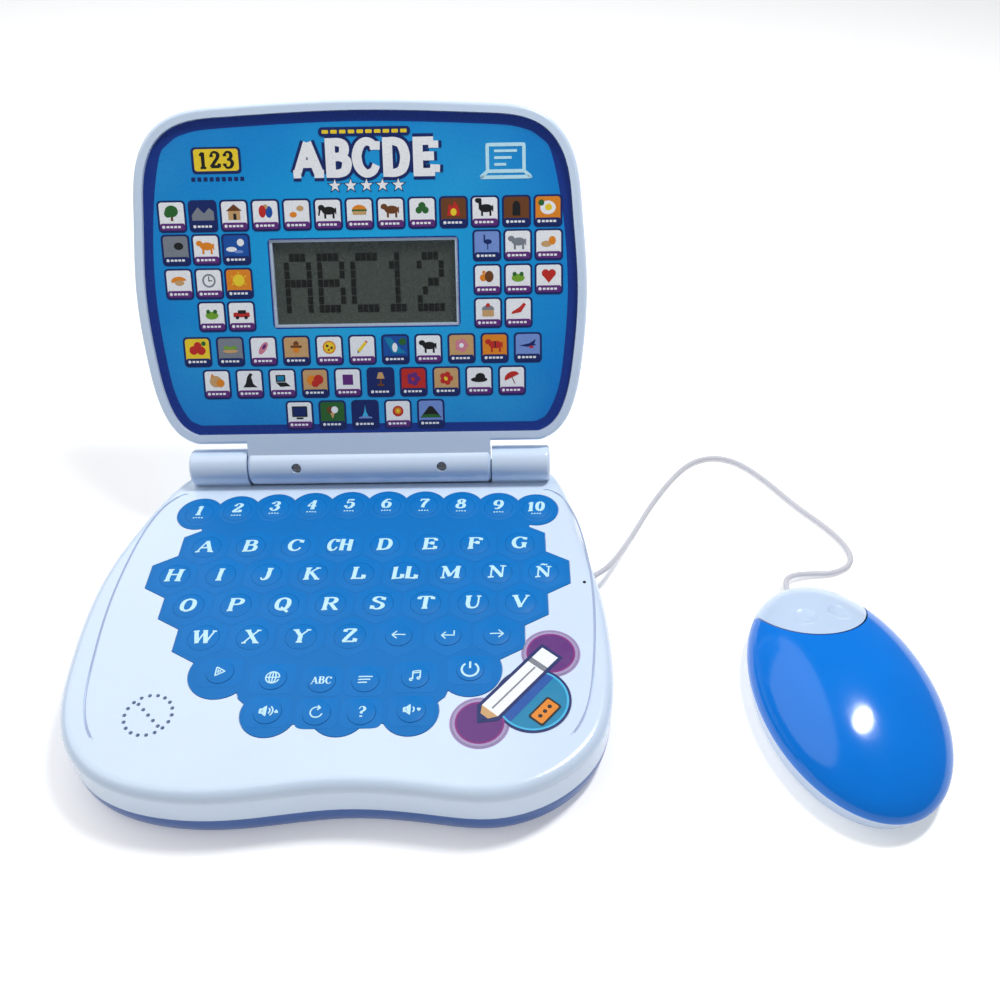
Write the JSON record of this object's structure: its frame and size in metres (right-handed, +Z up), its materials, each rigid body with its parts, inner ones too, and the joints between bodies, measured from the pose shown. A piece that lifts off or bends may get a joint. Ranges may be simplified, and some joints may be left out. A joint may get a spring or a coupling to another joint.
{
  "type": "toy laptop computer",
  "caption": "Toy laptop with a fold-down lid and display, a hexagon keyboard of press keys, and a small mouse on a cable.",
  "frame": {"origin": "on the table under the middle of the laptop base, on the keyboard's centre line", "axes": "+X to the user's right, towards the mouse; +Y from the user towards the hinge; +Z up"},
  "size_m": [0.3498, 0.2582, 0.1781],
  "materials": {
    "white_shell": "gloss",
    "blue_shell": "gloss",
    "key_film": "satin",
    "key_caps": "satin",
    "contact_rubber": "matte",
    "circuit_board": "satin",
    "screw_steel": "satin",
    "speaker_black": "matte",
    "cell_jacket": "gloss",
    "contact_nickel": "satin",
    "cable_white": "satin",
    "badge_print": "gloss",
    "panel_print": "gloss",
    "clear_window": "gloss",
    "lcd_glass": "gloss",
    "ribbon_cable": "satin",
    "mouse_white": "gloss",
    "mouse_blue": "gloss",
    "switch_black": "matte",
    "foot_pad": "matte"
  },
  "bodies": {
    "base": {"base_lower_shell": "blue_shell", "base_upper_shell": "white_shell", "keyboard_overlay": "key_film", "contact_sheet": "contact_rubber", "key_board": "circuit_board", "main_board": "circuit_board", "board_screws": "screw_steel", "speaker": "speaker_black", "battery_cells": "cell_jacket", "battery_contacts": "contact_nickel", "battery_cover": "blue_shell", "battery_cover_screw": "screw_steel", "base_screws": "screw_steel", "hinge_pins": "screw_steel", "base_grommet": "cable_white", "badge_sticker": "badge_print", "mouse_cable": "cable_white"},
    "lid": {"lid_front_shell": "white_shell", "lid_back_shell": "white_shell", "lid_panel": "panel_print", "lcd_window": "clear_window", "lcd_panel": "lcd_glass", "lcd_board": "circuit_board", "lid_ribbon": "ribbon_cable", "lid_screws": "screw_steel", "block_screws": "screw_steel"},
    "mouse": {"mouse_base_shell": "mouse_white", "mouse_top_shell": "mouse_blue", "mouse_board": "circuit_board", "mouse_switches": "switch_black", "mouse_feet": "foot_pad", "mouse_screw": "screw_steel", "mouse_grommet": "cable_white"},
    "mouse_button": {"mouse_button_cap": "mouse_white"},
    "key_digit_1": {"key_digit_1": "key_caps"},
    "key_digit_2": {"key_digit_2": "key_caps"},
    "key_digit_3": {"key_digit_3": "key_caps"},
    "key_digit_4": {"key_digit_4": "key_caps"},
    "key_digit_5": {"key_digit_5": "key_caps"},
    "key_digit_6": {"key_digit_6": "key_caps"},
    "key_digit_7": {"key_digit_7": "key_caps"},
    "key_digit_8": {"key_digit_8": "key_caps"},
    "key_digit_9": {"key_digit_9": "key_caps"},
    "key_digit_10": {"key_digit_10": "key_caps"},
    "key_arrow_left": {"key_arrow_left": "key_caps"},
    "key_enter": {"key_enter": "key_caps"},
    "key_arrow_right": {"key_arrow_right": "key_caps"},
    "key_demo": {"key_demo": "key_caps"},
    "key_language": {"key_language": "key_caps"},
    "key_letters": {"key_letters": "key_caps"},
    "key_words": {"key_words": "key_caps"},
    "key_music": {"key_music": "key_caps"},
    "key_power": {"key_power": "key_caps"},
    "key_volume_up": {"key_volume_up": "key_caps"},
    "key_repeat": {"key_repeat": "key_caps"},
    "key_answer": {"key_answer": "key_caps"},
    "key_volume_down": {"key_volume_down": "key_caps"},
    "letter_keys": {"letter_keys": "key_caps"}
  },
  "joints": [
    {"name": "lid_hinge", "type": "hinge", "parent": "base", "child": "lid", "pos_m": [0, 0.0815, 0.0326], "axis": [1, 0, 0], "range_deg": [0, 118]},
    {"name": "digit_1_press", "type": "slide", "parent": "base", "child": "key_digit_1", "axis": [0, 0, -1], "range_m": [0, 0.0005], "stiffness_N_per_m": 300, "springref_m": -0.001},
    {"name": "digit_2_press", "type": "slide", "parent": "base", "child": "key_digit_2", "axis": [0, 0, -1], "range_m": [0, 0.0005], "stiffness_N_per_m": 300, "springref_m": -0.001},
    {"name": "digit_3_press", "type": "slide", "parent": "base", "child": "key_digit_3", "axis": [0, 0, -1], "range_m": [0, 0.0005], "stiffness_N_per_m": 300, "springref_m": -0.001},
    {"name": "digit_4_press", "type": "slide", "parent": "base", "child": "key_digit_4", "axis": [0, 0, -1], "range_m": [0, 0.0005], "stiffness_N_per_m": 300, "springref_m": -0.001},
    {"name": "digit_5_press", "type": "slide", "parent": "base", "child": "key_digit_5", "axis": [0, 0, -1], "range_m": [0, 0.0005], "stiffness_N_per_m": 300, "springref_m": -0.001},
    {"name": "digit_6_press", "type": "slide", "parent": "base", "child": "key_digit_6", "axis": [0, 0, -1], "range_m": [0, 0.0005], "stiffness_N_per_m": 300, "springref_m": -0.001},
    {"name": "digit_7_press", "type": "slide", "parent": "base", "child": "key_digit_7", "axis": [0, 0, -1], "range_m": [0, 0.0005], "stiffness_N_per_m": 300, "springref_m": -0.001},
    {"name": "digit_8_press", "type": "slide", "parent": "base", "child": "key_digit_8", "axis": [0, 0, -1], "range_m": [0, 0.0005], "stiffness_N_per_m": 300, "springref_m": -0.001},
    {"name": "digit_9_press", "type": "slide", "parent": "base", "child": "key_digit_9", "axis": [0, 0, -1], "range_m": [0, 0.0005], "stiffness_N_per_m": 300, "springref_m": -0.001},
    {"name": "digit_10_press", "type": "slide", "parent": "base", "child": "key_digit_10", "axis": [0, 0, -1], "range_m": [0, 0.0005], "stiffness_N_per_m": 300, "springref_m": -0.001},
    {"name": "arrow_left_press", "type": "slide", "parent": "base", "child": "key_arrow_left", "axis": [0, 0, -1], "range_m": [0, 0.0005], "stiffness_N_per_m": 300, "springref_m": -0.001},
    {"name": "enter_press", "type": "slide", "parent": "base", "child": "key_enter", "axis": [0, 0, -1], "range_m": [0, 0.0005], "stiffness_N_per_m": 300, "springref_m": -0.001},
    {"name": "arrow_right_press", "type": "slide", "parent": "base", "child": "key_arrow_right", "axis": [0, 0, -1], "range_m": [0, 0.0005], "stiffness_N_per_m": 300, "springref_m": -0.001},
    {"name": "demo_press", "type": "slide", "parent": "base", "child": "key_demo", "axis": [0, 0, -1], "range_m": [0, 0.0005], "stiffness_N_per_m": 300, "springref_m": -0.001},
    {"name": "language_press", "type": "slide", "parent": "base", "child": "key_language", "axis": [0, 0, -1], "range_m": [0, 0.0005], "stiffness_N_per_m": 300, "springref_m": -0.001},
    {"name": "letters_press", "type": "slide", "parent": "base", "child": "key_letters", "axis": [0, 0, -1], "range_m": [0, 0.0005], "stiffness_N_per_m": 300, "springref_m": -0.001},
    {"name": "words_press", "type": "slide", "parent": "base", "child": "key_words", "axis": [0, 0, -1], "range_m": [0, 0.0005], "stiffness_N_per_m": 300, "springref_m": -0.001},
    {"name": "music_press", "type": "slide", "parent": "base", "child": "key_music", "axis": [0, 0, -1], "range_m": [0, 0.0005], "stiffness_N_per_m": 300, "springref_m": -0.001},
    {"name": "power_press", "type": "slide", "parent": "base", "child": "key_power", "axis": [0, 0, -1], "range_m": [0, 0.0005], "stiffness_N_per_m": 300, "springref_m": -0.001},
    {"name": "volume_up_press", "type": "slide", "parent": "base", "child": "key_volume_up", "axis": [0, 0, -1], "range_m": [0, 0.0005], "stiffness_N_per_m": 300, "springref_m": -0.001},
    {"name": "repeat_press", "type": "slide", "parent": "base", "child": "key_repeat", "axis": [0, 0, -1], "range_m": [0, 0.0005], "stiffness_N_per_m": 300, "springref_m": -0.001},
    {"name": "answer_press", "type": "slide", "parent": "base", "child": "key_answer", "axis": [0, 0, -1], "range_m": [0, 0.0005], "stiffness_N_per_m": 300, "springref_m": -0.001},
    {"name": "volume_down_press", "type": "slide", "parent": "base", "child": "key_volume_down", "axis": [0, 0, -1], "range_m": [0, 0.0005], "stiffness_N_per_m": 300, "springref_m": -0.001},
    {"name": "letter_keys_press", "type": "slide", "parent": "base", "child": "letter_keys", "axis": [0, 0, -1], "range_m": [0, 0.0005], "stiffness_N_per_m": 8700, "springref_m": -0.001},
    {"name": "mouse_slide", "type": "slide", "parent": "base", "child": "mouse", "axis": [0.1478, -0.989, 0], "range_m": [0, 0.03], "deforming": ["mouse_cable"]},
    {"name": "mouse_button_rock", "type": "hinge", "parent": "mouse", "child": "mouse_button", "pos_m": [0.19398, -0.00172, 0.013], "axis": [-0.1478, 0.989, 0], "range_deg": [-1.5, 1.5], "stiffness_Nm_per_rad": 0.1}
  ]
}
